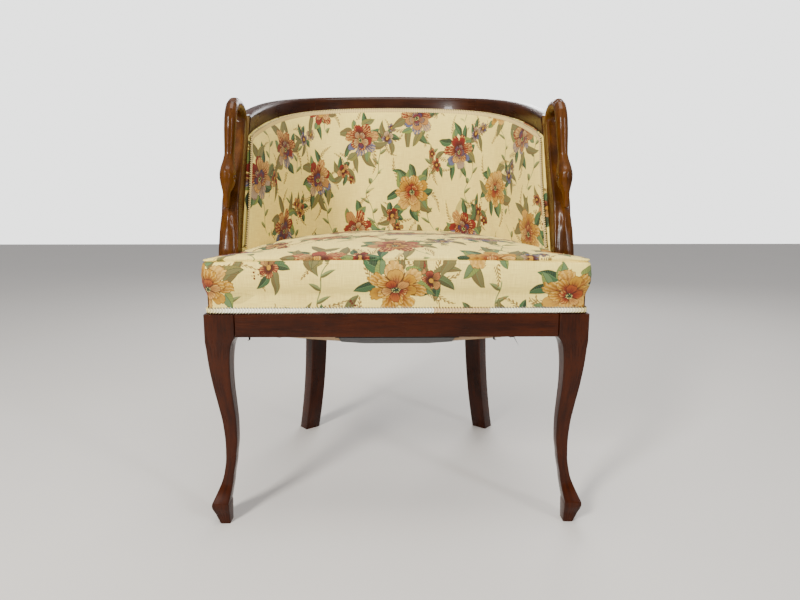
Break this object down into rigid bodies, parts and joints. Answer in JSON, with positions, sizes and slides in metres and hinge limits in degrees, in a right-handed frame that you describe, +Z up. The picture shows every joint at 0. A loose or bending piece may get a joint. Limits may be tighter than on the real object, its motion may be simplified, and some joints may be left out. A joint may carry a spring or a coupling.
{
  "type": "upholstered armchair",
  "caption": "Barrel-back upholstered armchair with a curved show-wood top line, carved swan arm fronts, cabriole front legs and splayed rear legs.",
  "frame": {"origin": "middle of the chair's footprint in plan, on the floor", "axes": "+Z up, +Y from the seat's front to the back, +X to the right seen from the front"},
  "size_m": [0.597, 0.5102, 0.742],
  "materials": {
    "show_wood": "glossy dark red-brown french polish",
    "hidden_timber": "sawn, unfinished",
    "tapestry": "woven floral tapestry on a cream ground",
    "braid": "woven cream gimp",
    "padding": "soft stuffing",
    "hessian": "coarse plain weave",
    "dust_cover": "thin dark cloth",
    "steel": "plain wood screws"
  },
  "bodies": {
    "root": {"arm_rail_left": "show_wood", "arm_rail_right": "show_wood", "bottom_hessian": "hessian", "crest_dowel_left": "hidden_timber", "crest_dowel_right": "hidden_timber", "crest_rail": "show_wood", "dust_cover_patch": "dust_cover", "front_block_left": "hidden_timber", "front_block_right": "hidden_timber", "front_block_screw_1_left": "steel", "front_block_screw_1_right": "steel", "front_block_screw_2_left": "steel", "front_block_screw_2_right": "steel", "front_leg_left": "show_wood", "front_leg_right": "show_wood", "front_rail": "show_wood", "inner_cover": "tapestry", "inner_gimp": "braid", "inner_hessian": "hessian", "inner_pad": "padding", "neck_dowel_left": "hidden_timber", "neck_dowel_right": "hidden_timber", "outer_cover": "tapestry", "outer_liner": "hessian", "outer_lower_gimp": "braid", "outer_top_gimp": "braid", "post_screw_left": "steel", "post_screw_right": "steel", "rear_block_left": "hidden_timber", "rear_block_right": "hidden_timber", "rear_block_screw_1_left": "steel", "rear_block_screw_1_right": "steel", "rear_block_screw_2_left": "steel", "rear_block_screw_2_right": "steel", "rear_leg_left": "show_wood", "rear_leg_right": "show_wood", "rear_rail": "show_wood", "seat_cover": "tapestry", "seat_foam": "padding", "seat_gimp": "braid", "seat_hessian": "hessian", "side_rail_left": "show_wood", "side_rail_right": "show_wood", "swan_post_left": "show_wood", "swan_post_right": "show_wood", "tack_rail_back": "hidden_timber", "tack_rail_left": "hidden_timber", "tack_rail_right": "hidden_timber", "web_crosswise_1": "hessian", "web_crosswise_2": "hessian", "web_crosswise_3": "hessian", "web_lengthwise_1": "hessian", "web_lengthwise_2": "hessian", "web_lengthwise_3": "hessian", "web_lengthwise_4": "hessian"}
  },
  "joints": []
}
